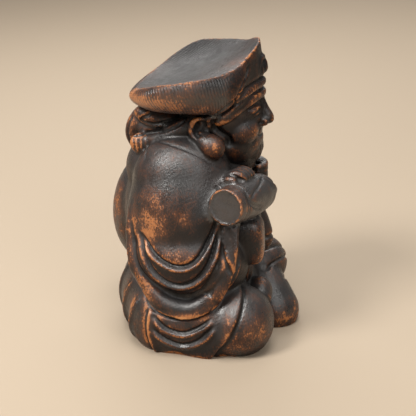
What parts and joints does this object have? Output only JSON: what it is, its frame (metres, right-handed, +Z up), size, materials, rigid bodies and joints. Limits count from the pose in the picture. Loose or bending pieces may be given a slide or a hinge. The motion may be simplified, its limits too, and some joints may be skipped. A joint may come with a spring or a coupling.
{
  "type": "daikoku figure",
  "caption": "Seated lucky-god figure carved from one block of dark-stained wood: wide soft cap, long ear lobes, mallet, sack and draped robe.",
  "frame": {"origin": "middle of the flat underside, under the body of the figure", "axes": "+Z up, the figure faces -Y and its right hand, which holds the mallet, is at -X"},
  "size_m": [0.2462, 0.2444, 0.358],
  "materials": {
    "stained_wood": "black-brown stain with a soft satin sheen, rubbed through to orange-brown wood on edges and high places"
  },
  "bodies": {
    "root": {"daikoku_figure": "stained_wood"}
  },
  "joints": []
}
